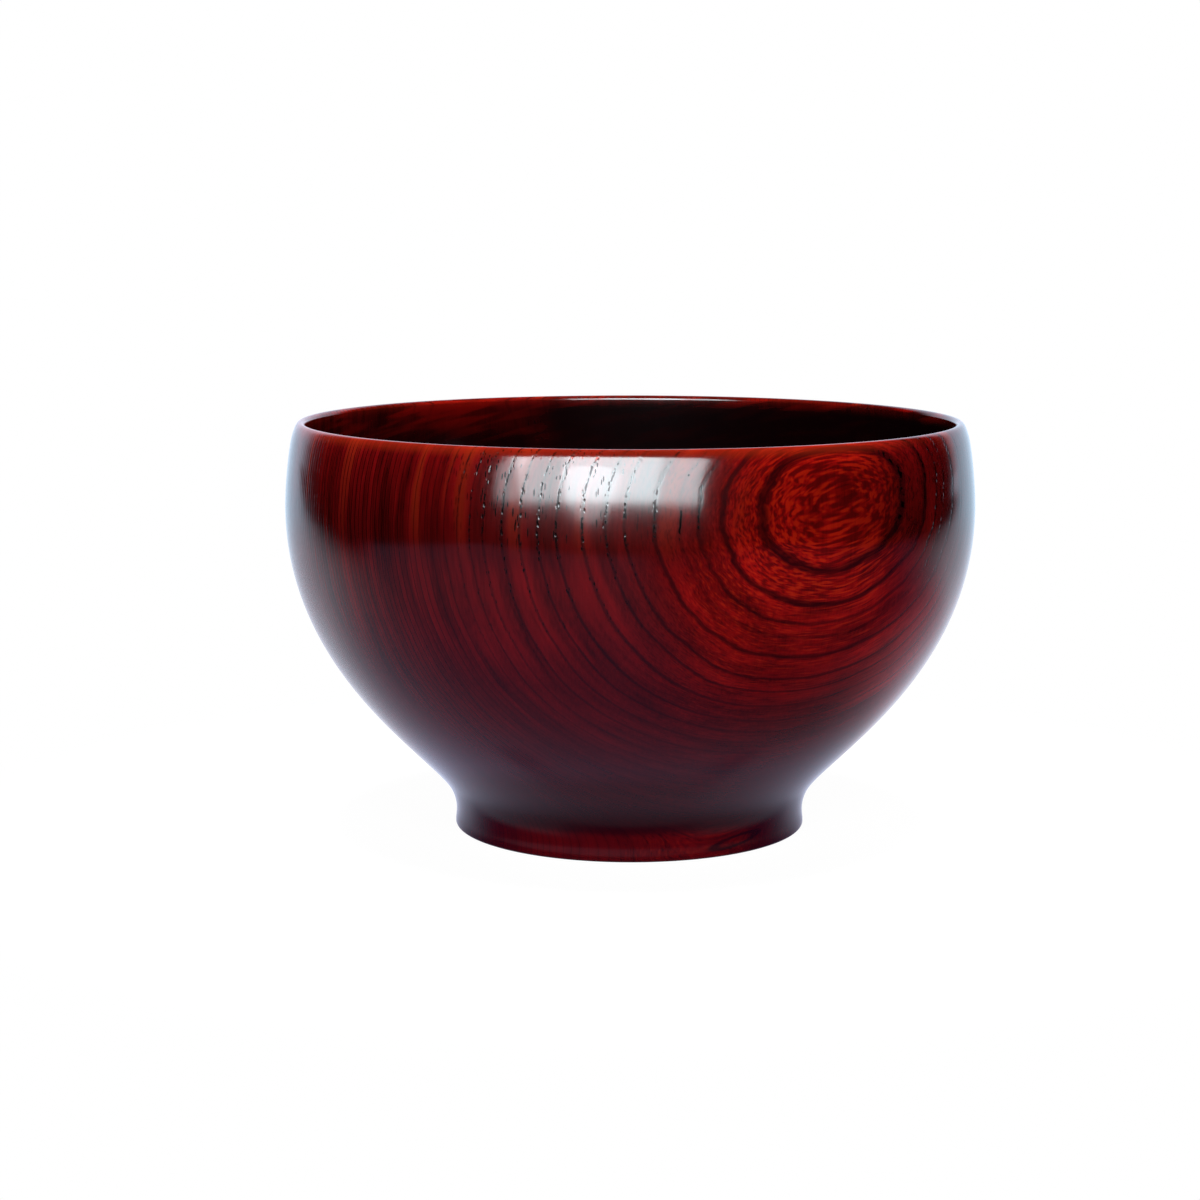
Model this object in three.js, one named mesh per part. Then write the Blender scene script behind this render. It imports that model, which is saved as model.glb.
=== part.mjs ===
// A turned wooden soup bowl: one block of wood, shaped on a lathe and wiped with red lacquer.
// The wall, the lip and the ring foot are all the same piece, so the bowl is one solid of revolution.
// Millimetres, +Z up. The origin is the centre of the face the bowl stands on, and -Y is its front.

import * as THREE from "three";
import { mergeVertices } from "three/addons/utils/BufferGeometryUtils.js";

// Driving dimensions of the outside

const BELLY_DIAMETER = 120; // the widest part of the wall
const BELLY_HEIGHT = 56.6; // from the table to the widest part
const RIM_RISE = 15; // from the widest part up to the crest of the lip
const RIM_INSET = 2.85; // how far the crest lies inside the widest part
const SHOULDER_WIDTH = 1.4; // from the crest out to where the lip's rounding begins
const SHOULDER_DROP = 2.1; // from the crest down to where the lip's rounding begins
const SHOULDER_LEAN = 19; // degrees that the wall leans inwards at the shoulder
const FOOT_DIAMETER = 61.8; // across the ring foot at the table
const NECK_INSET = 0.15; // how far the neck lies inside the foot
const NECK_HEIGHT = 2.5; // from the table to the neck, where the foot's side is upright
const NECK_ROUND = 8.9; // radius of the hollow between foot and wall
const NECK_FLARE = 33.5; // degrees from upright at which the wall leaves that hollow

// Driving dimensions of the inside and the underside

const WALL_THICKNESS = 3; // at the widest part
const LIP_INSIDE_ROUND = 0.8; // radius of the lip's inner edge
const FLOOR_THICKNESS = 6; // in the middle of the bowl
const FOOT_RING_WIDTH = 4; // of the flat ring that the bowl stands on, edges included
const FOOT_EDGE_ROUND = 0.4; // radius of the foot's two lower edges
const RECESS_DEPTH = 5; // of the hollow under the foot
const RECESS_ROUND = 2.2; // radius of the hollow's upper corner

// How far each curve holds the direction that it starts or ends with

const WALL_REACH_AT_NECK = 8.1;
const WALL_REACH_AT_BELLY = 27.9;
const RIM_REACH_AT_BELLY = 3.8;
const RIM_REACH_AT_SHOULDER = 2;
const LIP_REACH_AT_SHOULDER = 1.2;
const LIP_REACH_AT_CREST = 0.75;
const INSIDE_REACH_AT_LIP = 5;
const INSIDE_REACH_ABOVE_BELLY = 5;
const INSIDE_REACH_BELOW_BELLY = 26;
const INSIDE_REACH_AT_FLOOR = 36;

// Fineness of the solid

const STEPS_AROUND = 72;
const STEPS = { wall: 12, rim: 5, lip: 4, foot: 2, neck: 4, inside: 14, round: 3 };
const SAME_POINT = 0.001; // curves whose ends are closer than this share one point

const point = (radius, height) => new THREE.Vector2(radius, height);
const direction = (degreesFromUpright) => {
  const angle = THREE.MathUtils.degToRad(degreesFromUpright);
  return point(Math.sin(angle), Math.cos(angle));
};
const UP = direction(0);
const OUT = direction(90);

// A smooth curve that leaves one point and arrives at another in the directions given.
function sweep(from, leaving, reachFrom, to, arriving, reachTo) {
  const first = from.clone().addScaledVector(leaving, reachFrom);
  const second = to.clone().addScaledVector(arriving, -reachTo);
  return new THREE.CubicBezierCurve(from, first, second, to);
}

// A round of the given radius about a centre, between two angles in degrees counted from straight out.
function round(centre, radius, fromDegrees, toDegrees) {
  const from = THREE.MathUtils.degToRad(fromDegrees);
  const to = THREE.MathUtils.degToRad(toDegrees);
  return new THREE.EllipseCurve(centre.x, centre.y, radius, radius, from, to, toDegrees < fromDegrees);
}

const straight = (from, to) => new THREE.LineCurve(from, to);
const startOf = (curve) => curve.getPoint(0);
const endOf = (curve) => curve.getPoint(1);

// The underside: the hollow in the foot, from the axis out to the ring that stands on the table.
function undersideCurves() {
  const mouthRadius = FOOT_DIAMETER / 2 - FOOT_RING_WIDTH;
  const cornerCentre = point(mouthRadius - RECESS_ROUND, RECESS_DEPTH - RECESS_ROUND);
  const corner = round(cornerCentre, RECESS_ROUND, 90, 0);
  const edge = round(point(mouthRadius + FOOT_EDGE_ROUND, FOOT_EDGE_ROUND), FOOT_EDGE_ROUND, 180, 270);
  return [
    [straight(point(0, RECESS_DEPTH), startOf(corner)), 1],
    [corner, STEPS.round],
    [straight(endOf(corner), startOf(edge)), 1],
    [edge, STEPS.round],
  ];
}

// The outside: the foot, the hollow neck above it, the wall out to the belly, and in again to the shoulder.
function outsideCurves() {
  const footRadius = FOOT_DIAMETER / 2;
  const bellyRadius = BELLY_DIAMETER / 2;
  const neckRadius = footRadius - NECK_INSET;
  const edge = round(point(footRadius - FOOT_EDGE_ROUND, FOOT_EDGE_ROUND), FOOT_EDGE_ROUND, 270, 360);
  const neck = round(point(neckRadius + NECK_ROUND, NECK_HEIGHT), NECK_ROUND, 180, 180 - NECK_FLARE);
  const footReach = (NECK_HEIGHT - FOOT_EDGE_ROUND) / 3;
  const foot = sweep(endOf(edge), UP, footReach, startOf(neck), UP, footReach);
  const belly = point(bellyRadius, BELLY_HEIGHT);
  const wall = sweep(endOf(neck), direction(NECK_FLARE), WALL_REACH_AT_NECK, belly, UP, WALL_REACH_AT_BELLY);
  const lean = direction(-SHOULDER_LEAN);
  const rim = sweep(belly, UP, RIM_REACH_AT_BELLY, shoulderPoint(), lean, RIM_REACH_AT_SHOULDER);
  return [
    [edge, STEPS.round],
    [foot, STEPS.foot],
    [neck, STEPS.neck],
    [wall, STEPS.wall],
    [rim, STEPS.rim],
  ];
}

const crestPoint = () => point(BELLY_DIAMETER / 2 - RIM_INSET, BELLY_HEIGHT + RIM_RISE);
const shoulderPoint = () => crestPoint().add(point(SHOULDER_WIDTH, -SHOULDER_DROP));

// The lip: rounded over from the shoulder to the crest, and down again on the inside.
function lipCurves() {
  const crest = crestPoint();
  const inwards = OUT.clone().negate();
  const lean = direction(-SHOULDER_LEAN);
  const over = sweep(shoulderPoint(), lean, LIP_REACH_AT_SHOULDER, crest, inwards, LIP_REACH_AT_CREST);
  const down = round(point(crest.x, crest.y - LIP_INSIDE_ROUND), LIP_INSIDE_ROUND, 90, 180);
  return [
    [over, STEPS.lip],
    [down, STEPS.round],
  ];
}

// The inside: from the lip down past the belly, and in to the middle of the floor.
function insideCurves() {
  const crest = crestPoint();
  const down = UP.clone().negate();
  const inwards = OUT.clone().negate();
  const lip = point(crest.x - LIP_INSIDE_ROUND, crest.y - LIP_INSIDE_ROUND);
  const belly = point(BELLY_DIAMETER / 2 - WALL_THICKNESS, BELLY_HEIGHT);
  const floor = point(0, RECESS_DEPTH + FLOOR_THICKNESS);
  return [
    [sweep(lip, down, INSIDE_REACH_AT_LIP, belly, down, INSIDE_REACH_ABOVE_BELLY), STEPS.rim],
    [sweep(belly, down, INSIDE_REACH_BELOW_BELLY, floor, inwards, INSIDE_REACH_AT_FLOOR), STEPS.inside],
  ];
}

// The whole half section as one line of points, from the axis under the foot to the axis on the floor.
function halfSection() {
  const curves = [...undersideCurves(), ...outsideCurves(), ...lipCurves(), ...insideCurves()];
  const points = [startOf(curves[0][0])];
  for (const [curve, steps] of curves) {
    const run = curve.getPoints(steps);
    const joined = run[0].distanceTo(points.at(-1)) < SAME_POINT;
    points.push(...run.slice(joined ? 1 : 0));
  }
  return points;
}

// The lathe turns about Y, so the solid is stood up to turn about Z.
function turnedSolid(points) {
  const geometry = new THREE.LatheGeometry(points, STEPS_AROUND);
  geometry.rotateX(Math.PI / 2);
  geometry.deleteAttribute("normal");
  geometry.deleteAttribute("uv");
  const solid = mergeVertices(geometry);
  solid.computeVertexNormals();
  return solid;
}

const lacqueredWood = new THREE.MeshStandardMaterial({ color: 0x6b120b, roughness: 0.28, metalness: 0 });

const turnedBowl = new THREE.Mesh(turnedSolid(halfSection()), lacqueredWood);
turnedBowl.name = "turned_bowl";

const soupBowl = new THREE.Group();
soupBowl.add(turnedBowl);

export default soupBowl;
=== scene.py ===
# %% [markdown]
# # A turned and lacquered soup bowl
# The real bowl is one block of ring-porous wood. It was shaped on a lathe, and thin red lacquer was
# wiped into its open grain. The construction model already has the right size, so this lesson starts
# by loading it as a fixed frame. Everything below is made in the same place and in metres.

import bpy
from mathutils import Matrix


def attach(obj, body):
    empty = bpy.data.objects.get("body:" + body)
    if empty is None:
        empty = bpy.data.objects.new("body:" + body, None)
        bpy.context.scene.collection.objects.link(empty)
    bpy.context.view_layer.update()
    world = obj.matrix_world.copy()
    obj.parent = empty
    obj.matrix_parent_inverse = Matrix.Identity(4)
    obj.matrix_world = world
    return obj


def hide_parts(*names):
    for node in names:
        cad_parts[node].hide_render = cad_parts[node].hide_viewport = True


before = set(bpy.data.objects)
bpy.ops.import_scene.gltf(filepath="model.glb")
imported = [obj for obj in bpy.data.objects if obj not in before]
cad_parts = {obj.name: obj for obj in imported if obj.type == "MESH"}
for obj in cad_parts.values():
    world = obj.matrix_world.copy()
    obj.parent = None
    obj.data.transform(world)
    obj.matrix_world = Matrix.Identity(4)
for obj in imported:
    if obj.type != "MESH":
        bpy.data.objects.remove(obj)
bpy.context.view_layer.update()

# %% [markdown]
# ## A camera at the photograph's place
# The bowl was photographed from a little above its lip. The distance, the tilt and the lens were
# worked out from the ellipses of the lip and the foot and from the outline of the wall.

# %% Camera
import math

import bmesh
import bpy
from mathutils import Vector

CAMERA_PLACE = (0.0, -0.43976, 0.10737)
CAMERA_TILT_DOWN = 8.76  # degrees
CAMERA_TURN = 0.68  # degrees to the left
CAMERA_LENS = 75.62  # millimetres on a sensor 36 mm wide
SENSOR_WIDTH = 36.0

scene = bpy.context.scene
scene.view_settings.view_transform = "Standard"


def link_to_scene(made):
    scene.collection.objects.link(made)
    return made


camera = link_to_scene(bpy.data.objects.new("camera", bpy.data.cameras.new("camera")))
camera.location = CAMERA_PLACE
camera.rotation_euler = (math.radians(90 - CAMERA_TILT_DOWN), 0.0, math.radians(CAMERA_TURN))
camera.data.sensor_width = SENSOR_WIDTH
camera.data.lens = CAMERA_LENS
scene.camera = camera
print("camera lens:", round(camera.data.lens, 2), "mm")

# %% [markdown]
# ## Formulas that turn into nodes
# Both the shape and the grain of the wood follow formulas. A `Wire` holds the output of a node, and
# adding or multiplying wires makes the Math nodes, so that the formulas below read like ordinary sums.

# %% Wires


def plug(tree, value, socket):
    """Links a wire to a socket, or sets the socket to a plain value."""
    if isinstance(value, Wire):
        tree.links.new(value.socket, socket)
    else:
        socket.default_value = value


class Wire:
    """The output of a node, for use in formulas."""

    def __init__(self, tree, socket):
        self.tree = tree
        self.socket = socket

    def math(self, operation, *others):
        return math_node(self.tree, operation, self, *others)

    def __add__(self, other):
        return self.math("ADD", other)

    def __radd__(self, other):
        return self.math("ADD", other)

    def __sub__(self, other):
        return self.math("SUBTRACT", other)

    def __rsub__(self, other):
        return math_node(self.tree, "SUBTRACT", other, self)

    def __mul__(self, other):
        return self.math("MULTIPLY", other)

    def __rmul__(self, other):
        return self.math("MULTIPLY", other)

    def __truediv__(self, other):
        return self.math("DIVIDE", other)

    def __neg__(self):
        return self.math("MULTIPLY", -1.0)


def math_node(tree, operation, *values):
    node = tree.nodes.new("ShaderNodeMath")
    node.operation = operation
    for socket, value in zip(node.inputs, values):
        plug(tree, value, socket)
    return Wire(tree, node.outputs[0])


print("wires are ready")

# %% [markdown]
# ## Ramps, bands and blends
# Most marks on wood fade in and out. A ramp fades in, a band fades in and out again, and a blend lays
# one colour over another where a mask says so. Each takes only a few nodes, and a helper keeps the
# cells below short.

# %% Ramps, bands and blends
MIX_FIRST = 6  # places of the colour sockets on the Mix node
MIX_SECOND = 7
MIX_RESULT = 2


def ramp(value, low, high, to_low=0.0, to_high=1.0):
    """Goes smoothly from one level to another while a wire rises between two limits."""
    node = value.tree.nodes.new("ShaderNodeMapRange")
    node.interpolation_type = "SMOOTHSTEP"
    plug(value.tree, value, node.inputs["Value"])
    node.inputs["From Min"].default_value = low
    node.inputs["From Max"].default_value = high
    node.inputs["To Min"].default_value = to_low
    node.inputs["To Max"].default_value = to_high
    return Wire(value.tree, node.outputs[0])


def band(value, rise, full, fall, gone):
    """Rises from 0 to 1 between the first two limits and falls to 0 again between the last two."""
    return ramp(value, rise, full) * ramp(value, fall, gone, 1.0, 0.0)


def blend(factor, first, second, mode="MIX"):
    """Mixes two colours by a wire. Each colour is four numbers or a wire."""
    node = factor.tree.nodes.new("ShaderNodeMix")
    node.data_type = "RGBA"
    node.blend_type = mode
    plug(factor.tree, factor, node.inputs[0])
    plug(factor.tree, first, node.inputs[MIX_FIRST])
    plug(factor.tree, second, node.inputs[MIX_SECOND])
    return Wire(factor.tree, node.outputs[MIX_RESULT])


def three_parts(tree, vector):
    """Splits a vector into the wires of its three parts."""
    node = tree.nodes.new("ShaderNodeSeparateXYZ")
    tree.links.new(vector, node.inputs["Vector"])
    return [Wire(tree, socket) for socket in node.outputs]


print("ramps, bands and blends are ready")

# %% [markdown]
# ## The half section of the bowl
# A turner thinks of a bowl as one line that is swept round the axis. The line here has the same
# driving sizes as the construction model: the belly, the lip that is drawn in, the hollow neck and
# the ring foot. A Geometry Nodes tree takes them as named inputs, so that any of them can be changed.

# %% Sizes of the section
LENGTHS = {
    "Belly diameter": 0.120,
    "Belly height": 0.0566,
    "Rim rise": 0.015,
    "Rim inset": 0.00285,
    "Shoulder width": 0.0014,
    "Shoulder drop": 0.0021,
    "Foot diameter": 0.0618,
    "Neck inset": 0.00015,
    "Neck height": 0.0025,
    "Neck round": 0.0089,
    "Wall thickness": 0.003,
    "Lip inside round": 0.0008,
    "Floor thickness": 0.006,
    "Foot ring width": 0.004,
    "Foot edge round": 0.0004,
    "Recess depth": 0.005,
    "Recess round": 0.0022,
    "Wall reach at neck": 0.0081,
    "Wall reach at belly": 0.0279,
    "Rim reach at belly": 0.0038,
    "Rim reach at shoulder": 0.002,
    "Lip reach at shoulder": 0.0012,
    "Lip reach at crest": 0.00075,
    "Inside reach at lip": 0.005,
    "Inside reach above belly": 0.005,
    "Inside reach below belly": 0.026,
    "Inside reach at floor": 0.036,
}
ANGLES = {
    "Shoulder lean": math.radians(19),
    "Neck flare": math.radians(33.5),
}
STEPS_AROUND = 240

lathe = bpy.data.node_groups.new("turned_section", "GeometryNodeTree")
lathe.is_modifier = True
lathe.interface.new_socket("Geometry", in_out="OUTPUT", socket_type="NodeSocketGeometry")
input_ids = {}
for subtype, group in (("DISTANCE", LENGTHS), ("ANGLE", ANGLES)):
    for name, value in group.items():
        size_input = lathe.interface.new_socket(name, in_out="INPUT", socket_type="NodeSocketFloat")
        size_input.subtype = subtype
        size_input.default_value = value
        input_ids[name] = size_input.identifier
around_input = lathe.interface.new_socket("Steps around", in_out="INPUT", socket_type="NodeSocketInt")
input_ids["Steps around"] = around_input.identifier
group_input = lathe.nodes.new("NodeGroupInput")
print(len(input_ids), "named inputs")

# %% [markdown]
# ## Curves between points
# Each stretch of the line is one Bezier segment: it leaves a point in one direction, arrives at the
# next point in another, and its two reaches say how long it holds those directions. A quarter circle
# and a straight line are special cases, so one helper draws them all.

# %% Sweeps
QUARTER_REACH = 0.5523  # of the radius, for a Bezier that follows a quarter circle
UP = (0.0, 1.0)
DOWN = (0.0, -1.0)
OUT = (1.0, 0.0)
IN = (-1.0, 0.0)
section_curves = []


def size(name):
    return Wire(lathe, group_input.outputs[name])


def vector_at(radius, height):
    """A point of the half section, counted from the belly's circle. A section on it hangs down."""
    node = lathe.nodes.new("ShaderNodeCombineXYZ")
    plug(lathe, radius - size("Belly diameter") * 0.5, node.inputs["X"])
    plug(lathe, -height, node.inputs["Y"])
    return node.outputs["Vector"]


def moved(point, direction, reach):
    return tuple(place + reach * share for place, share in zip(point, direction))


def sweep(start, leaving, reach_from, end, arriving, reach_to, steps):
    node = lathe.nodes.new("GeometryNodeCurvePrimitiveBezierSegment")
    node.mode = "POSITION"
    node.inputs["Resolution"].default_value = steps
    handles = {
        "Start": start,
        "Start Handle": moved(start, leaving, reach_from),
        "End Handle": moved(end, arriving, -reach_to),
        "End": end,
    }
    for name, point in handles.items():
        lathe.links.new(vector_at(*point), node.inputs[name])
    section_curves.append(node.outputs["Curve"])


def quarter(start, leaving, end, arriving, radius, steps=6):
    sweep(start, leaving, radius * QUARTER_REACH, end, arriving, radius * QUARTER_REACH, steps)


def straight(start, end, direction, length, steps):
    sweep(start, direction, length / 3, end, direction, length / 3, steps)


print("sweeps are ready")

# %% [markdown]
# ## The underside
# A hollow is turned into the foot, so that the bowl stands on a ring and doesn't rock. The line starts
# on the axis, runs out along the hollow's ceiling and comes down to the ring.

# %% Hollow of the foot and its ring
foot_radius = size("Foot diameter") * 0.5
edge = size("Foot edge round")
recess_depth = size("Recess depth")
recess_round = size("Recess round")
mouth_radius = foot_radius - size("Foot ring width")
axis_radius = foot_radius * 0.0
table_height = edge * 0.0

ceiling_middle = (axis_radius, recess_depth)
ceiling_edge = (mouth_radius - recess_round, recess_depth)
corner_end = (mouth_radius, recess_depth - recess_round)
inner_edge_start = (mouth_radius, edge)
inner_edge_end = (mouth_radius + edge, table_height)
outer_edge_start = (foot_radius - edge, table_height)
outer_edge_end = (foot_radius, edge)

straight(ceiling_middle, ceiling_edge, OUT, mouth_radius - recess_round, steps=14)
quarter(ceiling_edge, OUT, corner_end, DOWN, recess_round, steps=9)
straight(corner_end, inner_edge_start, DOWN, recess_depth - recess_round - edge, steps=3)
quarter(inner_edge_start, DOWN, inner_edge_end, OUT, edge)
straight(inner_edge_end, outer_edge_start, OUT, size("Foot ring width") - edge * 2, steps=4)
quarter(outer_edge_start, OUT, outer_edge_end, UP, edge)
print(len(section_curves), "sweeps under the foot")

# %% [markdown]
# ## The outside
# The foot's side draws in a hair to the neck. A hollow round leads into the wall, the wall swells out
# to the belly, and the rim leans in again to the shoulder where the lip begins.

# %% Foot, neck, wall and rim
neck_height = size("Neck height")
neck_round = size("Neck round")
flare = size("Neck flare")
shoulder_lean = size("Shoulder lean")
belly_radius = size("Belly diameter") * 0.5
belly_height = size("Belly height")

neck_start = (foot_radius - size("Neck inset"), neck_height)
flare_direction = (flare.math("SINE"), flare.math("COSINE"))
neck_end = (
    neck_start[0] + neck_round * (1.0 - flare_direction[1]),
    neck_start[1] + neck_round * flare_direction[0],
)
foot_reach = (neck_height - edge) / 3
neck_reach = neck_round * ((flare / 4).math("TANGENT") * 4 / 3)
belly = (belly_radius, belly_height)
crest = (belly_radius - size("Rim inset"), belly_height + size("Rim rise"))
shoulder = (crest[0] + size("Shoulder width"), crest[1] - size("Shoulder drop"))
lean_direction = (-shoulder_lean.math("SINE"), shoulder_lean.math("COSINE"))

sweep(outer_edge_end, UP, foot_reach, neck_start, UP, foot_reach, steps=5)
sweep(neck_start, UP, neck_reach, neck_end, flare_direction, neck_reach, steps=10)
wall_reaches = (size("Wall reach at neck"), size("Wall reach at belly"))
sweep(neck_end, flare_direction, wall_reaches[0], belly, UP, wall_reaches[1], steps=42)
rim_reaches = (size("Rim reach at belly"), size("Rim reach at shoulder"))
sweep(belly, UP, rim_reaches[0], shoulder, lean_direction, rim_reaches[1], steps=14)
print(len(section_curves), "sweeps so far")

# %% [markdown]
# ## The lip and the inside
# The lip is rounded over and is thinner than the wall below it. The inside follows the outside down to
# a thicker floor, which keeps hot soup away from the hand and the table.

# %% Lip and inside
lip_round = size("Lip inside round")
lip_end = (crest[0] - lip_round, crest[1] - lip_round)
inside_belly = (belly_radius - size("Wall thickness"), belly_height)
floor_middle = (axis_radius, recess_depth + size("Floor thickness"))

lip_reaches = (size("Lip reach at shoulder"), size("Lip reach at crest"))
sweep(shoulder, lean_direction, lip_reaches[0], crest, IN, lip_reaches[1], steps=10)
quarter(crest, IN, lip_end, DOWN, lip_round, steps=9)
upper_reaches = (size("Inside reach at lip"), size("Inside reach above belly"))
sweep(lip_end, DOWN, upper_reaches[0], inside_belly, DOWN, upper_reaches[1], steps=14)
lower_reaches = (size("Inside reach below belly"), size("Inside reach at floor"))
sweep(inside_belly, DOWN, lower_reaches[0], floor_middle, IN, lower_reaches[1], steps=48)
print(len(section_curves), "sweeps in the half section")

# %% [markdown]
# ## Turning the section into the bowl
# Curve to Mesh sweeps the line along a circle, as the lathe turns the block past the tool. The sweeps
# only touch at their ends, so Merge by Distance welds them, and it also closes the two poles on the
# axis. Screw would do as well, but it has no named sizes.

# %% Lathe tree
WELD_DISTANCE = 2e-6

material = bpy.data.materials.new("lacquered_wood")
join = lathe.nodes.new("GeometryNodeJoinGeometry")
for curve in reversed(section_curves):
    lathe.links.new(curve, join.inputs["Geometry"])
circle = lathe.nodes.new("GeometryNodeCurvePrimitiveCircle")
lathe.links.new(group_input.outputs["Steps around"], circle.inputs["Resolution"])
plug(lathe, belly_radius, circle.inputs["Radius"])
upright = lathe.nodes.new("GeometryNodeSetCurveNormal")
upright.mode = "Z_UP"
turned = lathe.nodes.new("GeometryNodeCurveToMesh")
weld = lathe.nodes.new("GeometryNodeMergeByDistance")
weld.inputs["Distance"].default_value = WELD_DISTANCE
flip = lathe.nodes.new("GeometryNodeFlipFaces")
smooth = lathe.nodes.new("GeometryNodeSetShadeSmooth")
realize = lathe.nodes.new("GeometryNodeRealizeInstances")
finish = lathe.nodes.new("GeometryNodeSetMaterial")
finish.inputs["Material"].default_value = material
group_output = lathe.nodes.new("NodeGroupOutput")

lathe.links.new(circle.outputs["Curve"], upright.inputs["Curve"])
lathe.links.new(upright.outputs["Curve"], turned.inputs["Curve"])
lathe.links.new(join.outputs["Geometry"], turned.inputs["Profile Curve"])
chain = [turned, weld, flip, smooth, realize, finish, group_output]
for before, after in zip(chain, chain[1:]):
    lathe.links.new(before.outputs[0], after.inputs[0])
print("the lathe tree has", len(lathe.nodes), "nodes")

# %% [markdown]
# ## The bowl as a mesh
# The tree runs on an empty object, and its result is kept as a plain mesh, with nothing left to work
# out. A bowl that holds soup has no gaps, so the open edges are counted, and the volume of the wood is
# measured.

# %% Bowl mesh
CUBIC_CM = 1e6  # cubic centimetres in a cubic metre

blank = link_to_scene(bpy.data.objects.new("bowl_blank", bpy.data.meshes.new("bowl_blank")))
modifier = blank.modifiers.new("lathe", "NODES")
modifier.node_group = lathe
for name, value in {**LENGTHS, **ANGLES, "Steps around": STEPS_AROUND}.items():
    modifier[input_ids[name]] = value
depsgraph = bpy.context.evaluated_depsgraph_get()
bowl_mesh = bpy.data.meshes.new_from_object(blank.evaluated_get(depsgraph))
bowl_mesh.name = "bowl"
bowl = link_to_scene(bpy.data.objects.new("bowl", bowl_mesh))
blank.modifiers.remove(modifier)
bpy.data.objects.remove(blank)

measure = bmesh.new()
measure.from_mesh(bowl_mesh)
open_edges = sum(not side.is_manifold for side in measure.edges)
print("bowl:", len(measure.faces), "faces,", open_edges, "open edges")
print("wood:", round(measure.calc_volume(signed=True) * CUBIC_CM, 2), "cubic centimetres")
measure.free()

# %% [markdown]
# ## A place in the block
# The bowl was cut from a block with growth rings, and the rings were there before the bowl. A picture
# of wood wrapped round the bowl would break at the lip. So the grain is worked out in space, from the
# place of each point in the block, and the same rings show on the wall, the foot, the lip and inside.

# %% Place in the block
MM = 1000.0  # millimetres in a metre
GRAIN_TURN = 32.5  # degrees from the front to where the belly cuts the layers flat

material.use_nodes = True
wood = material.node_tree
wood.nodes.clear()
coordinates = wood.nodes.new("ShaderNodeTexCoord")
grain = wood.nodes.new("ShaderNodeMapping")
grain.inputs["Scale"].default_value = (MM, MM, MM)
grain.inputs["Rotation"].default_value = (0.0, 0.0, -math.radians(GRAIN_TURN))
wood.links.new(coordinates.outputs["Object"], grain.inputs["Vector"])

across, away_from_front, height = three_parts(wood, grain.outputs["Vector"])
towards = -away_from_front
from_axis = (across * across + towards * towards).math("SQRT")
bowl_right, bowl_back, _ = three_parts(wood, coordinates.outputs["Object"])
rightwards = bowl_right * MM
forwards = bowl_back * -MM
print("the grain is turned by", GRAIN_TURN, "degrees")

# %% [markdown]
# ## How the wood grew
# The rings are layers round a pith that lies behind the bowl. Where the belly cuts them almost flat,
# at the front right, they show as closed rings, and everywhere else as fine upright lines. A formula
# gives the lean, the twist and the bend of the layers. Two noises let them wander, because no tree
# grows evenly, and the finer one is weaker where the layers are cut steeply.

# %% Layers of the wood
LEVEL = 62.0  # height in mm at which the layers' lean is given
LAYER_LEAN = 0.106
LAYER_SIDE_LEAN = 0.009
LAYER_TWIST = 0.00147  # change of lean for each mm across
LAYER_BEND = 0.0020  # the layers curve round the pith
PINCH = 0.38  # mm that the layers fall back below the closed rings
PINCH_ABOVE = 0.8  # share of that above the rings
MEANDER = 0.8  # mm that the layers wander
CURL = 0.45  # mm of the finer waves
CURL_LEFT = 0.3  # share of the curl on steep cuts


def noise(parts, lengths, detail=1.0):
    """Smooth noise about zero. Its cells have the given lengths in mm along the three wires."""
    vector = wood.nodes.new("ShaderNodeCombineXYZ")
    for socket, part, length in zip(vector.inputs, parts, lengths):
        plug(wood, part / length, socket)
    node = wood.nodes.new("ShaderNodeTexNoise")
    node.inputs["Scale"].default_value = 1.0
    node.inputs["Detail"].default_value = detail
    wood.links.new(vector.outputs["Vector"], node.inputs["Vector"])
    return Wire(wood, node.outputs[0]) - 0.5


block = (across, towards, height)
above = height - LEVEL
layer = towards + above * LAYER_LEAN + across * LAYER_SIDE_LEAN
layer = layer + across * above * LAYER_TWIST + across * across * LAYER_BEND
layer = layer - (band(height, 33, 42, 50, 60) + ramp(height, 64, 70) * PINCH_ABOVE) * PINCH
layer = layer + noise(block, (30, 30, 40)) * MEANDER
curl = ramp((towards / from_axis).math("ABSOLUTE"), 0.8, 0.95, CURL_LEFT, 1.0) * CURL
layer = layer + noise(block, (11, 11, 3.6), detail=2.0) * curl
layers = (layer, across, height)
print("the layers lean", LAYER_LEAN, "mm for each mm of height")

# %% [markdown]
# ## Rings
# Every year's layer starts with a row of wide pores, which is dark. The rows at the front are placed
# one by one, each with its own strength, and those further in follow at an even distance. A curve
# turns the place in the layers into a count of rings, and the part of the count after the point tells
# how far a place lies from the nearest row.

# %% Rings
FRONT_RINGS = {  # place in mm along the layers: how dark the row of pores is
    33.8: 0.6,
    35.6: 0.5,
    37.2: 0.65,
    38.8: 0.55,
    41.0: 0.75,
    42.9: 0.7,
    44.7: 0.8,
    46.4: 0.9,
    48.6: 0.8,
    50.4: 0.85,
    51.7: 0.85,
    53.6: 0.9,
    55.0: 0.4,
    55.9: 0.75,
    57.0: 1.0,
    58.5: 1.0,
    60.4: 1.0,
}
INNER_RING_GAP = 1.9

places = list(FRONT_RINGS)
span = places[-1] - places[0]
along = (layer - places[0]) / span


def curve_through(value, knots):
    """A curve of straight pieces through the knots, which are pairs from 0 to 1."""
    node = wood.nodes.new("ShaderNodeFloatCurve")
    points = node.mapping.curves[0].points
    points[0].location = knots[0]
    points[1].location = knots[-1]
    for knot in knots[1:-1]:
        points.new(*knot)
    for point in points:
        point.handle_type = "VECTOR"
    node.mapping.update()
    plug(wood, value, node.inputs["Value"])
    return Wire(wood, node.outputs[0])


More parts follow.
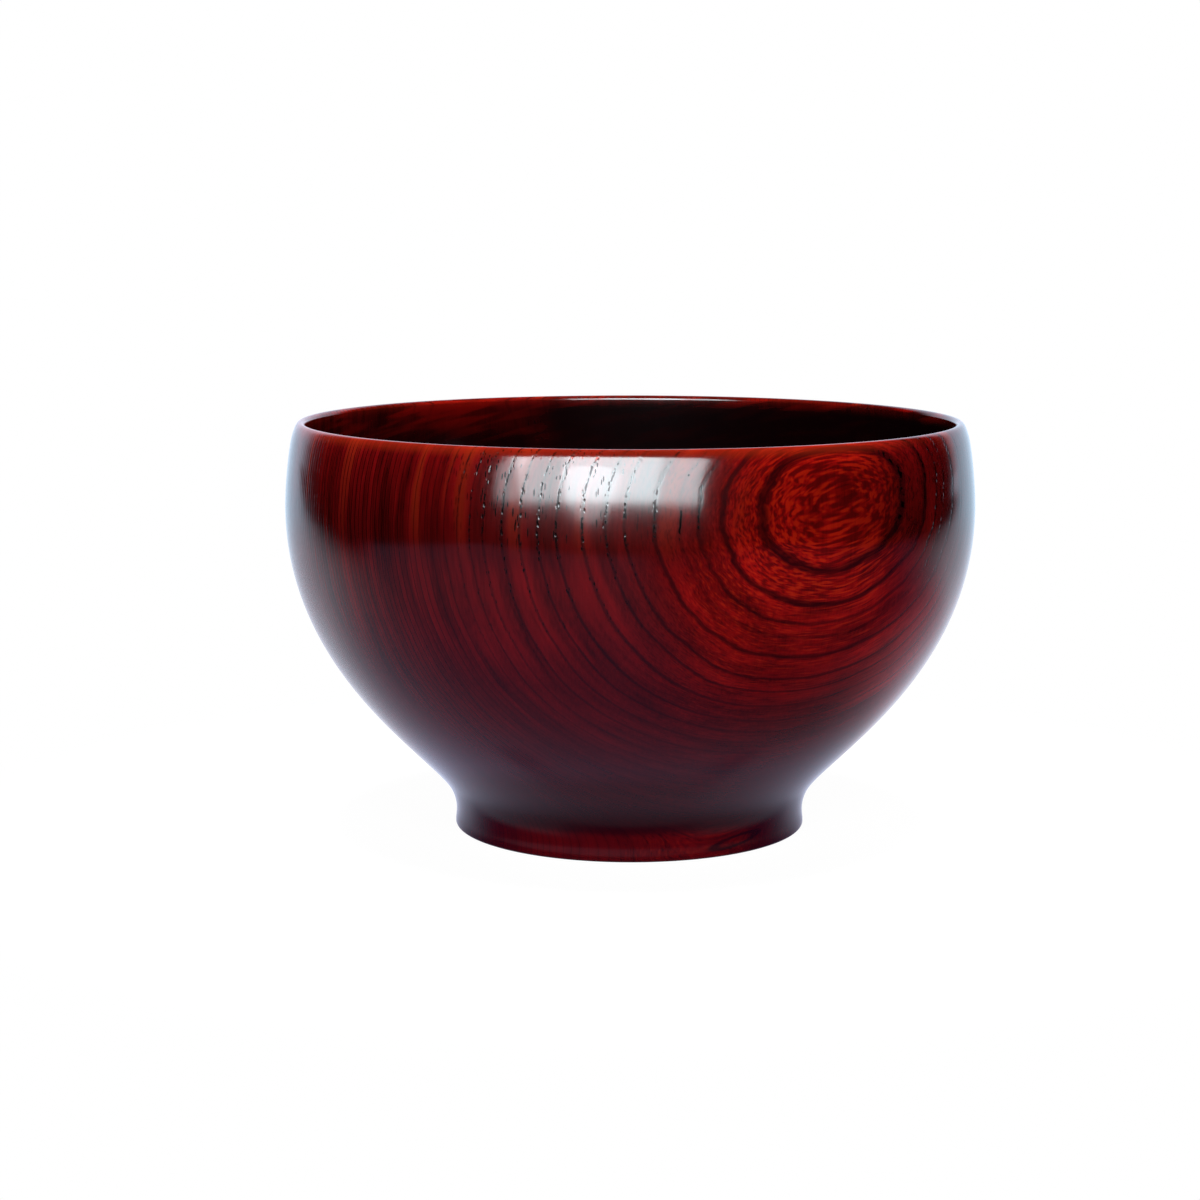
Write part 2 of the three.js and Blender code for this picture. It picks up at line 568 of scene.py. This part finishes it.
last = len(places) - 1
counts = [((place - places[0]) / span, index / last) for index, place in enumerate(places)]
strengths = [((place - places[0]) / span, strength) for place, strength in FRONT_RINGS.items()]
further_in = (layer - places[0]).math("MINIMUM", 0.0) / INNER_RING_GAP
in_ring = (curve_through(along, counts) * last + further_in).math("FRACT")
from_row = 0.5 - (in_ring - 0.5).math("ABSOLUTE")
row_strength = curve_through(along, strengths)
print(len(places), "rings at the front")

# %% [markdown]
# ## Early wood and late wood
# The early wood takes up the most lacquer and turns nearly black. The denser late wood after it stays
# bright, with lines that follow the layers and fibres that run upright. Each kind of line is a noise
# with long cells. Here and below, limits in height, across and along the layers are in millimetres.

# %% Lines of the grain
FINE_SHARE = 0.6
MIDDLE_SHARE = 0.7
BROAD_SHARE = 1.2
FIBRE_SHARE = 0.5

narrowing = ramp(layer, 50, 57, 1.5, 1.0)
early = ramp(from_row * narrowing, 0.035, 0.18, 1.0, 0.0) * row_strength
early = early * ramp(height, 10, 40, 0.25, 1.0)
fine_lines = noise(layers, (0.5, 6, 9))
middle_lines = noise(layers, (1.2, 14, 22))
broad_lines = noise(layers, (2.2, 25, 45))
fibres = noise(block, (0.4, 0.4, 12), detail=2.0)
tone = fine_lines * FINE_SHARE + middle_lines * MIDDLE_SHARE
tone = tone + broad_lines * BROAD_SHARE + fibres * FIBRE_SHARE
tone = tone * ramp(height, 8, 38, 0.4, 1.0)
print("with the lines of the grain:", len(wood.nodes), "nodes")

# %% [markdown]
# ## Where the layers are cut flat
# Where the surface runs along a layer, the fibres throw back more light and the lacquer glows. That
# happens at the front right and, weaker, on the opposite side. A faint glow also lies low on the right.
# The front of the foot's side is painted brighter, partly for a flat cut there and partly as painted
# light from the front. Near the lip the glow is painted weaker, as shade against the stronger light
# from above. `flatness` is 1 at the brightest turn of the bowl and falls off to both sides.

# %% Flat cut
GLOW_TURN = 6.0  # degrees from the flattest cut towards the front, where the wood is brightest
GLOW_MIDDLE = 0.88
GLOW_AROUND = 0.14
GLOW_BEHIND = 0.6
GLOW_AND_LIGHT_ON_FOOT = 0.3
GLOW_LOW = 0.42

glow_turn = math.radians(GLOW_TURN)
flatness = (towards * math.cos(glow_turn) - across * math.sin(glow_turn)) / from_axis
right_end = ramp(across, 7, 22, 1.0, 0.05).math("MAXIMUM", ramp(height, 40, 55, 0.8, 0.0))
front_glow = ramp(flatness, 0.92, 1.0) * GLOW_MIDDLE + ramp(flatness, 0.6, 0.92) * GLOW_AROUND
front_glow = front_glow * right_end
back_glow = ramp(-towards / from_axis, 0.955, 1.0) * GLOW_BEHIND
# painted shade: near the lip the glow is weaker, against the stronger light from above there
glow_near_lip = ramp(layer, 56.5, 59, 0.16, 0.36)
painted_shade_near_lip = ramp(height, 50, 60) * (1.0 - glow_near_lip)
glow_by_height = ramp(height, 22, 56, 0.06, 1.0) * (1.0 - painted_shade_near_lip)
# partly a flat cut on the foot and partly painted light from the front
foot_glow_and_light = ramp(height, 4.0, 5.4, GLOW_AND_LIGHT_ON_FOOT, 0.0) * ramp(forwards / from_axis, 0.6, 0.9)
low_glow = ramp(across, 4, 16, 0.0, GLOW_LOW) * band(height, 18, 32, 40, 52) * ramp(towards, 15, 30)
flat_cut_with_painted_light = front_glow.math("MAXIMUM", back_glow) * glow_by_height + foot_glow_and_light + low_glow
print("with the flat cut:", len(wood.nodes), "nodes")

# %% [markdown]
# ## Feathers, and a ring on the foot
# Thin bands within each ring come out on the flat cut as a pattern of short dashes, like the feathers
# of a partridge. One noise makes both kinds: its high parts turn dark and its low parts bright. The
# side of the foot cuts one more layer in a small closed ring. The layers above don't reach that
# place exactly, so the ring is drawn there as a flattened circle.

# %% Feathers and the ring on the foot
FEATHER_SLANT = 0.2
LENS_PLACE = 1.9  # mm across, of the small closed ring on the side of the foot
LENS_HEIGHT = 2.4
LENS_LENGTH = 4.5  # half of its length and of its height
LENS_RISE = 0.8
LENS_SLANT = 0.15

feathers = noise((layer, across, height - across * FEATHER_SLANT), (0.1, 5, 1.0))
feathers = feathers * ramp(flatness, 0.8, 0.96) * ramp(layer, 56, 59, 0.4, 1.0)
dark_dashes = ramp(feathers, -0.02, 0.13)
bright_dashes = ramp(-feathers, 0.0, 0.13)

lens_across = (across - LENS_PLACE) / LENS_LENGTH
lens_up = (height - LENS_HEIGHT - (across - LENS_PLACE) * LENS_SLANT) / LENS_RISE
from_lens = ((lens_across * lens_across + lens_up * lens_up).math("SQRT") - 1.0).math("ABSOLUTE")
lens = ramp(from_lens, 0.1, 0.45, 1.0, 0.0) * ramp(towards, 20, 26)
print("the ring on the foot is", 2 * LENS_LENGTH, "mm long")

# %% [markdown]
# ## Open pores
# The widest pores stay open under the thin lacquer. They show as round pits in the rows of the early
# wood, as upright slits below the lip, and as short dashes along the rows. A Voronoi texture has one
# spot in every cell, so long cells make slits. The flat cut at the front and the far sides of the bowl
# hardly show any pores.

# %% Pores
PORES_AT_SIDES = 0.15  # shares of the pores that are left there
PORES_ON_FLAT_CUT = 0.1


def dots(lengths, low, high):
    """Scattered round spots, one in each cell of the given lengths in mm."""
    vector = wood.nodes.new("ShaderNodeVectorMath")
    vector.operation = "DIVIDE"
    wood.links.new(grain.outputs["Vector"], vector.inputs[0])
    vector.inputs[1].default_value = lengths
    node = wood.nodes.new("ShaderNodeTexVoronoi")
    node.inputs["Scale"].default_value = 1.0
    wood.links.new(vector.outputs["Vector"], node.inputs["Vector"])
    return ramp(Wire(wood, node.outputs["Distance"]), low, high, 1.0, 0.0)


open_left = ramp(across, -54, -47, PORES_AT_SIDES, 1.0)
open_right = ramp(across, 24, 36, 1.0, PORES_AT_SIDES)
open_sides = open_left * open_right
open_pores = ramp(flatness, 0.86, 0.97, 1.0, PORES_ON_FLAT_CUT) * open_sides
below_lip = ramp(height, 54, 60)

pore_row = ramp(from_row, 0.06, 0.14, 1.0, 0.0) * ramp(height, 34, 54, 0.15, 1.0)
pits = dots((0.5, 0.5, 1.1), 0.16, 0.42) * pore_row * open_pores
slits = dots((0.45, 0.45, 3.0), 0.22, 0.36) * ramp(fine_lines, -0.02, 0.02)
slits = slits * below_lip * open_pores
slanted_cut = ramp(flatness, 0.955, 0.985, 1.0, 0.0) * open_sides
broken = ramp(noise(block, (0.8, 0.8, 1.0)), -0.01, 0.05)
row_dashes = ramp(from_row, 0.03, 0.08, 1.0, 0.0) * broken * below_lip * slanted_cut
pores = pits.math("MAXIMUM", slits).math("MAXIMUM", row_dashes)
print("with the pores:", len(wood.nodes), "nodes")

# %% [markdown]
# ## The inside and the lip
# The inside is painted almost black as shade: darker deeper down and at the right, and lighter at
# the back left near the lip, where brighter swirls of the grain show. The lip's top is painted a
# lighter orange as painted light from above, strongest at the front. A height can't tell the inside
# from the outside, so a rounded shell that runs in the middle of the wall does.

# %% Inside and lip
MIDDLE_RADIUS = 58.5  # of the shell, all in mm
MIDDLE_HEIGHT = 58.0
MIDDLE_DEPTH = 49.0
DRAWN_IN_AT_LIP = 0.9
SHELL_POWER = 2.2
# painted shade inside the bowl
INSIDE_SHADE = 0.88  # how black the inside is below the lip
SWIRL_SLANT = 0.25

in_wall = MIDDLE_RADIUS - ramp(height, 64, 71) * DRAWN_IN_AT_LIP
down = (MIDDLE_HEIGHT - height).math("MAXIMUM", 0.0) / MIDDLE_DEPTH
shell = (from_axis / in_wall).math("POWER", SHELL_POWER) + down.math("POWER", SHELL_POWER)
inside = ramp(shell, 0.95, 0.97, 1.0, 0.0)
outside = 1.0 - inside
outer_pores = pores * outside

# painted shade inside: darker deeper down and at the right, lighter at the back left near the lip
near_lip = ramp(rightwards, -34, -12, 0.35, 0.97).math("MAXIMUM", ramp(height, 63, 69, 0.92, 0.35))
thickness = INSIDE_SHADE + ramp(height, 52, 60) * (near_lip - INSIDE_SHADE)
in_shade = inside * thickness * ramp(height, 69.0, 71.0, 1.0, 0.2)
swirl = noise((rightwards, forwards, height - rightwards * SWIRL_SLANT), (14, 14, 1.8))
swirl = ramp(swirl, -0.02, 0.14) * inside * ramp(forwards, -20, 0, 1.0, 0.0) * ramp(height, 56, 64)
# painted light on the lip's top, strongest at the front and weaker at the right
painted_lip_light = ramp(height, 69.6, 71.0) * ramp(rightwards, 30, 50, 1.0, 0.2)
painted_lip_light = painted_lip_light * ramp(forwards, -20, 20, 0.4, 1.0)
print("with the inside and the lip:", len(wood.nodes), "nodes")

# %% [markdown]
# ## Lighter and darker places
# Near the lip the left is painted lighter as painted light, the right above the belly is painted darker
# as painted shade, and the belly is painted lighter at the left too. The hollow above the foot is
# painted darker as shade, and a few brown streaks run down from the lip. The sides change the
# brightness of the wood, and the other two are colours.

# %% Lighter and darker places
LEFT_TOP_LIGHT = 0.28
LEFT_BELLY_LIGHT = 0.5
RIGHT_SHADE = 0.45
TONE_STRENGTH = 1.6
DARKEST_TONE = 0.2

# painted light at the left near the lip and on the left belly, painted shade at the right above the
# belly
painted_light_left_top = ramp(height, 59, 66) * ramp(across, -45, -30, 1.0, 0.0)
painted_light_left_belly = band(height, 33, 43, 51, 56) * ramp(across, -46, -20, 1.0, 0.0)
painted_shade_right = ramp(height, 50, 56) * ramp(across, 20, 34)
sides = painted_light_left_top * LEFT_TOP_LIGHT + painted_light_left_belly * LEFT_BELLY_LIGHT - painted_shade_right * RIGHT_SHADE
shade = (tone * TONE_STRENGTH + 1.0).math("MAXIMUM", DARKEST_TONE) * (1.0 + sides)
streaks = ramp(broad_lines, 0.04, 0.2) * ramp(height, 52, 64) * outside
# painted shade in the hollow above the foot
painted_neck_shade = band(height, 4.4, 6.0, 8, 12) * outside
print("with lighter and darker places:", len(wood.nodes), "nodes")

# %% [markdown]
# ## Colour of the lacquered wood
# The lacquer is see-through: on bright late wood it glows orange red, and in the early wood it turns
# to a dark maroon. The colours are laid over each other like glazes, each with its mask and its
# strength. One colour ramp would be shorter, but it can't hold marks that cross each other.

# %% Colours
EARLY_STRENGTH = 0.85


def seen(red, green, blue):
    """A colour as it is seen on a screen, turned into the linear values that the renderer uses."""
    shares = [level / 255 for level in (red, green, blue)]
    linear = [s / 12.92 if s <= 0.04045 else ((s + 0.055) / 1.055) ** 2.4 for s in shares]
    return (*linear, 1.0)


BODY_RED = seen(76, 4, 5)
GLOW_RED = seen(148, 11, 6)
BRIGHT_ORANGE = seen(225, 50, 12)
STREAK_BROWN = seen(120, 34, 9)
LIP_LIGHT_ORANGE = seen(122, 30, 10)
EARLY_AND_SHADE_MAROON = seen(36, 2, 4)
PORE_AND_SHADE_BLACK = seen(10, 2, 3)

early_share = EARLY_STRENGTH - inside * ramp(height, 54, 62, 0.35, 0.82)
glazes = [
    (bright_dashes * flat_cut_with_painted_light, 0.4, BRIGHT_ORANGE),
    (swirl, 0.5, GLOW_RED),
    (streaks, 0.4, STREAK_BROWN),
    (dark_dashes, 0.6, EARLY_AND_SHADE_MAROON),
    (early, early_share, EARLY_AND_SHADE_MAROON),
    (painted_neck_shade, 0.5, EARLY_AND_SHADE_MAROON),
    (lens, 0.8, EARLY_AND_SHADE_MAROON),
    (outer_pores, 1.0, PORE_AND_SHADE_BLACK),
    (painted_lip_light, 0.38, LIP_LIGHT_ORANGE),
    (in_shade, 1.0, PORE_AND_SHADE_BLACK),
]
full_share = wood.nodes.new("ShaderNodeValue")
full_share.outputs[0].default_value = 1.0
colour = blend(flat_cut_with_painted_light, BODY_RED, GLOW_RED)
colour = blend(Wire(wood, full_share.outputs[0]), colour, shade, mode="MULTIPLY")
for mask, strength, tint in glazes:
    colour = blend(mask * strength, colour, tint)
print(len(glazes), "glazes over the red wood")

# %% [markdown]
# ## Gloss
# Wiped lacquer is thin and rubbed down, so it has one soft gloss with the grain showing through it.
# The pits of the pores go into a Bump node, whose heights are given in millimetres. An open pore has no
# film of lacquer across it, so it swallows the gloss as well: Metallic with a black colour does that.

# %% Shader
LACQUER_IOR = 1.32
GLOSS_ROUGHNESS = 0.115
FIBRE_ROUGHNESS = 0.03
PORE_DULLNESS = 0.65
PIT_DEPTH = 0.016  # depths in mm
EARLY_DEPTH = 0.003
FINE_DEPTH = 0.004

shader = wood.nodes.new("ShaderNodeBsdfPrincipled")
surface = wood.nodes.new("ShaderNodeOutputMaterial")
wood.links.new(shader.outputs["BSDF"], surface.inputs["Surface"])
shader.inputs["IOR"].default_value = LACQUER_IOR
wood.links.new(colour.socket, shader.inputs["Base Color"])
plug(wood, fibres * FIBRE_ROUGHNESS + GLOSS_ROUGHNESS, shader.inputs["Roughness"])
plug(wood, ramp(outer_pores, 0.85, 1.0) * PORE_DULLNESS, shader.inputs["Metallic"])
relief = wood.nodes.new("ShaderNodeBump")
relief.inputs["Distance"].default_value = 1 / MM
open_grain = tone * FINE_DEPTH - pits * PIT_DEPTH - early * EARLY_DEPTH
plug(wood, open_grain * outside, relief.inputs["Height"])
wood.links.new(relief.outputs["Normal"], shader.inputs["Normal"])
print("the wood has", len(wood.nodes), "nodes")

# %% [markdown]
# ## Floor
# The bowl stands on a pale floor. It is one flat face that lies a hair below the foot, so that the two
# faces don't coincide.

# %% Floor
FLOOR_FRONT = -0.62
FLOOR_BACK = 2.5
FLOOR_SIDE = 2.0
FLOOR_DROP = -0.00002

floor_mesh = bpy.data.meshes.new("floor")
near_edge = [(-FLOOR_SIDE, FLOOR_FRONT, FLOOR_DROP), (FLOOR_SIDE, FLOOR_FRONT, FLOOR_DROP)]
far_edge = [(FLOOR_SIDE, FLOOR_BACK, FLOOR_DROP), (-FLOOR_SIDE, FLOOR_BACK, FLOOR_DROP)]
floor_mesh.from_pydata(near_edge + far_edge, [], [(0, 1, 2, 3)])
floor = link_to_scene(bpy.data.objects.new("floor", floor_mesh))
paper = bpy.data.materials.new("paper_floor")
paper.use_nodes = True
floor_mesh.materials.append(paper)
tree = paper.node_tree
tree.nodes.clear()
print("floor runs from", FLOOR_FRONT, "to", FLOOR_BACK, "m")

# %% [markdown]
# ## The floor as the camera sees it
# The camera sees white paper with the bowl's soft shadow, which fades to plain white further out. Most
# of the white is given off by the floor itself, and only a small share comes from the lamps. That
# share is what the shadow takes away, so the shadow stays faint.

# %% Floor seen by the camera
FADE_START = 0.04  # distances from the bowl's axis between which the shadow fades to white
FADE_END = 0.13
SHADOW_SHARE = 0.07  # of the floor's whiteness that comes from the lamps
OWN_LIGHT = 1.04  # of the floor near the bowl, before that share is taken off
WHITE = (1.0, 1.0, 1.0, 1.0)
BLACK = (0.0, 0.0, 0.0, 1.0)


def floor_shader(kind, colour, strength=None):
    node = tree.nodes.new(kind)
    plug(tree, colour, node.inputs["Color"])
    if strength is not None:
        node.inputs["Strength"].default_value = strength
    return Wire(tree, node.outputs[0])


def mixed(factor, first, second):
    node = tree.nodes.new("ShaderNodeMixShader")
    for value, socket in zip((factor, first, second), node.inputs):
        plug(tree, value, socket)
    return Wire(tree, node.outputs[0])


place = tree.nodes.new("ShaderNodeTexCoord")
far_out = tree.nodes.new("ShaderNodeVectorMath")
far_out.operation = "LENGTH"
tree.links.new(place.outputs["Object"], far_out.inputs[0])
out = Wire(tree, far_out.outputs["Value"])
floor_right, floor_back, _ = three_parts(tree, place.outputs["Object"])

lit = tree.nodes.new("ShaderNodeAddShader")
shadow_colour = (SHADOW_SHARE, SHADOW_SHARE, SHADOW_SHARE, 1.0)
plug(tree, floor_shader("ShaderNodeBsdfDiffuse", shadow_colour), lit.inputs[0])
plug(tree, floor_shader("ShaderNodeEmission", WHITE, OWN_LIGHT - SHADOW_SHARE), lit.inputs[1])
plain_white = floor_shader("ShaderNodeEmission", WHITE, 1.0)
to_camera = mixed(ramp(out, FADE_START, FADE_END), Wire(tree, lit.outputs[0]), plain_white)
print("the shadow fades out by", FADE_END, "m")

# %% [markdown]
# ## The floor in the gloss
# The lower wall mirrors the floor. What it mirrors in the photograph is a table of limited size: lilac
# in front and at the left, dark near the foot and at the right, and redder at the right behind. Further
# back the table is as bright as the backdrop. A real table would need the whole room round it, so its
# colours are given by place here.

# %% Table in the gloss
# painted shadow: the colours at the foot, seen low and under the foot stand for the bowl's shadow
TABLE_SHADOW_AT_FOOT = (0.15, 0.03, 0.12, 1.0)
TABLE_SHADOW_SEEN_LOW = (0.1, 0.03, 0.15, 1.0)
TABLE_NEAR = (0.35, 0.21, 0.44, 1.0)
TABLE_LEFT = (0.42, 0.27, 0.44, 1.0)
TABLE_FRONT_LEFT = (0.5, 0.27, 0.44, 1.0)
TABLE_SHADOW_UNDER = (0.05, 0.03, 0.03, 1.0)
TABLE_RIGHT = (0.15, 0.03, 0.09, 1.0)
TABLE_BACK_RIGHT = (0.65, 0.1, 0.21, 1.0)
TABLE_RIM = (1.0, 0.08, 0.15, 1.0)
SIDE_SLOPE = 0.7  # how fast the table widens towards the back
FAR_RIGHT_SLOPE = 0.3  # how much faster it does so far out at the right

side_slope = SIDE_SLOPE + ramp(floor_right, 0.6, 1.2) * FAR_RIGHT_SLOPE
sideways = floor_right.math("ABSOLUTE") - floor_back.math("MAXIMUM", 0.0) * side_slope
table = blend(ramp(out, 0.034, 0.040), TABLE_SHADOW_AT_FOOT, TABLE_NEAR)
table_left = blend(ramp(floor_back, -0.18, -0.08), TABLE_FRONT_LEFT, TABLE_LEFT)
table = blend(ramp(out, 0.07, 0.17), table, table_left)
table = blend(ramp(sideways, 0.12, 0.34) * ramp(floor_back, -0.04, 0.02), table, TABLE_RIM)
table_right = blend(ramp(floor_back, -0.03, 0.02), TABLE_RIGHT, TABLE_BACK_RIGHT)
table_right = blend(ramp(out, 0.05, 0.09), TABLE_RIGHT, table_right)
table = blend(ramp(floor_right, -0.01, 0.05), table, table_right)
print("with the table:", len(tree.nodes), "nodes")

# %% [markdown]
# ## The backdrop in the gloss
# Behind the bowl the table takes over the backdrop's brightness, and that makes the pale rims on both
# sides of the wall. Close to the foot, a place that is seen at a low angle is darker, a painted shadow
# of the bowl that gives the foot its deep red, and under the foot the table is painted dark as shade.
# Layer Weight tells that angle.

# %% Backdrop in the gloss
BACKDROP_AT_FOOT = (1.1, 1.25, 1.6, 1.0)
BACKDROP = (1.0, 1.03, 1.22, 1.0)
BACKDROP_COOL = (0.98, 1.25, 1.55, 1.0)
HELD_BACK_NEAR = 0.02  # how much further back the brightness starts at the right, in metres
HELD_BACK_MORE = 0.04

backdrop = blend(ramp(out, 0.038, 0.060), BACKDROP_AT_FOOT, BACKDROP)
backdrop = blend(ramp(floor_back, 0.1, 0.5), backdrop, BACKDROP_COOL)
backdrop = blend(ramp(sideways, 0.12, 0.34), backdrop, BLACK)
held_back = HELD_BACK_NEAR + ramp(out, 0.08, 0.16) * HELD_BACK_MORE
behind = floor_back - ramp(floor_right, 0.0, 0.1) * held_back
table = blend(ramp(behind, -0.07, 0.06), table, backdrop)

glance = tree.nodes.new("ShaderNodeLayerWeight")
grazing = Wire(tree, glance.outputs["Facing"])
low_in_front = ramp(grazing, 0.04, 0.16) * ramp(floor_back, -0.036, -0.029, 1.0, 0.0)
low_at_sides = ramp(grazing, 0.38, 0.55) * ramp(floor_back, -0.022, -0.004, 1.0, 0.0)
low_view = low_in_front.math("MAXIMUM", low_at_sides) * ramp(out, 0.040, 0.048, 1.0, 0.0)
table = blend(low_view, table, TABLE_SHADOW_SEEN_LOW)
under_foot = ramp(out, 0.029, 0.031, 1.0, 0.0)
table = blend(under_foot, table, TABLE_SHADOW_UNDER)
off_table = ramp(sideways, 0.34, 0.40).math("MAXIMUM", ramp(floor_back, -0.42, -0.32, 1.0, 0.0))
print("with the backdrop:", len(tree.nodes), "nodes")

# %% [markdown]
# ## One floor for every kind of ray
# Light Path tells which kind of ray has hit the floor, so one face can be white paper to the camera, a
# table to the gloss and a pale surface to the wood that it lights. A little light under the foot keeps
# the hollow there from turning black. From below the floor is clear, so that the foot can be seen.

# %% Floor shader
FLOOR_PALE = (0.17, 0.17, 0.17, 1.0)
LIGHT_UNDER_FOOT = 0.5

rays = tree.nodes.new("ShaderNodeLightPath")
to_gloss = floor_shader("ShaderNodeEmission", blend(off_table, table, BLACK), 1.0)
to_wood = floor_shader("ShaderNodeBsdfDiffuse", FLOOR_PALE)
to_wood = mixed(under_foot, to_wood, floor_shader("ShaderNodeEmission", WHITE, LIGHT_UNDER_FOOT))
other_rays = mixed(Wire(tree, rays.outputs["Is Glossy Ray"]), to_wood, to_gloss)
all_rays = mixed(Wire(tree, rays.outputs["Is Camera Ray"]), other_rays, to_camera)
surface_side = tree.nodes.new("ShaderNodeNewGeometry")
see_through = floor_shader("ShaderNodeBsdfTransparent", WHITE)
all_rays = mixed(Wire(tree, surface_side.outputs["Backfacing"]), all_rays, see_through)
floor_output = tree.nodes.new("ShaderNodeOutputMaterial")
plug(tree, all_rays, floor_output.inputs["Surface"])
print("the floor has", len(tree.nodes), "nodes")

# %% [markdown]
# ## World
# The photograph has a plain white ground, so the world is white to the camera. To the gloss it is a
# white backdrop that stands only behind the bowl, and its reflection rims both sides. The rest of the
# room stays dark, because an even white room would wash out the red.

# %% World
AMBIENT = 0.03
BACKDROP_START = 0.66  # of the way from the side to straight back
BACKDROP_FULL = 0.82
WIDER_AT_RIGHT = 0.03

world = bpy.data.worlds.new("studio")
scene.world = world
world.use_nodes = True
sky = world.node_tree
sky.nodes.clear()
sky_rays = sky.nodes.new("ShaderNodeLightPath")
direction = sky.nodes.new("ShaderNodeTexCoord")
sky_right, sky_back, _ = three_parts(sky, direction.outputs["Generated"])


def ray(name):
    return Wire(sky, sky_rays.outputs[name])


towards_back = sky_back + ramp(sky_right, 0.0, 0.4) * WIDER_AT_RIGHT
glossy = ramp(towards_back, BACKDROP_START, BACKDROP_FULL) * ray("Is Glossy Ray")
straight_rays = ray("Is Camera Ray") + ray("Is Transmission Ray")
background = sky.nodes.new("ShaderNodeBackground")
plug(sky, glossy + straight_rays + ray("Is Diffuse Ray") * AMBIENT, background.inputs["Strength"])
plug(sky, blend(ray("Is Glossy Ray"), WHITE, BACKDROP_COOL), background.inputs["Color"])
sky_output = sky.nodes.new("ShaderNodeOutputWorld")
sky.links.new(background.outputs[0], sky_output.inputs["Surface"])
print("world is white to the camera")

# %% [markdown]
# ## Lamps
# A soft lamp overhead lights the wood, and weaker ones fill in from the front, the left and the back.
# A soft window in front of the bowl shows as the bright patch on the belly. One lamp would give it an
# even brightness and a hard end, so four overlap there, and only the gloss sees them.

# %% Lamps
AIM = Vector((0.0, 0.0, 0.045))
WINDOW_TINT = (0.89, 1.025, 1.075)


def lamp(name, azimuth, elevation, distance, width, depth, power):
    """A soft lamp that looks at the bowl. Azimuth counts in degrees from the front to the right."""
    data = bpy.data.lights.new(name, "AREA")
    data.shape = "RECTANGLE"
    data.size = width
    data.size_y = depth
    data.energy = power
    made = link_to_scene(bpy.data.objects.new(name, data))
    turn = math.radians(azimuth)
    lift = math.radians(elevation)
    level = math.cos(lift)
    away = Vector((math.sin(turn) * level, -math.cos(turn) * level, math.sin(lift)))
    made.location = AIM + away * distance
    made.rotation_euler = (-away).to_track_quat("-Z", "Y").to_euler()
    return made


window = lamp("window", -6.4, 21.8, 1.2, 1.314, 0.65, 67.0)
window_left = lamp("window_left", -38.8, 19.0, 1.2, 0.155, 0.56, 3.1)
window_middle = lamp("window_middle", -5.5, 21.8, 1.15, 0.595, 0.625, 17.0)
window_low = lamp("window_low", -12.5, 14.0, 1.15, 0.36, 0.46, 4.5)
window_low.data.shape = "ELLIPSE"
for made in (window, window_left, window_middle, window_low):
    made.visible_diffuse = False
    made.data.color = WINDOW_TINT
key = lamp("key", 0, 86, 1.3, 0.5, 0.5, 56.0)
fill = lamp("fill", 10, 32, 1.3, 0.5, 0.5, 5.5)
fill_left = lamp("fill_left", -35, 18, 1.3, 0.5, 0.5, 1.8)
fill_back = lamp("fill_back", 170, 25, 1.3, 0.8, 0.8, 7.0)
for made in (key, fill, fill_left, fill_back):
    made.visible_glossy = False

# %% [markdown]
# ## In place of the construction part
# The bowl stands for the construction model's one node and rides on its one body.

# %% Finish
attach(bowl, "root")
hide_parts("turned_bowl")
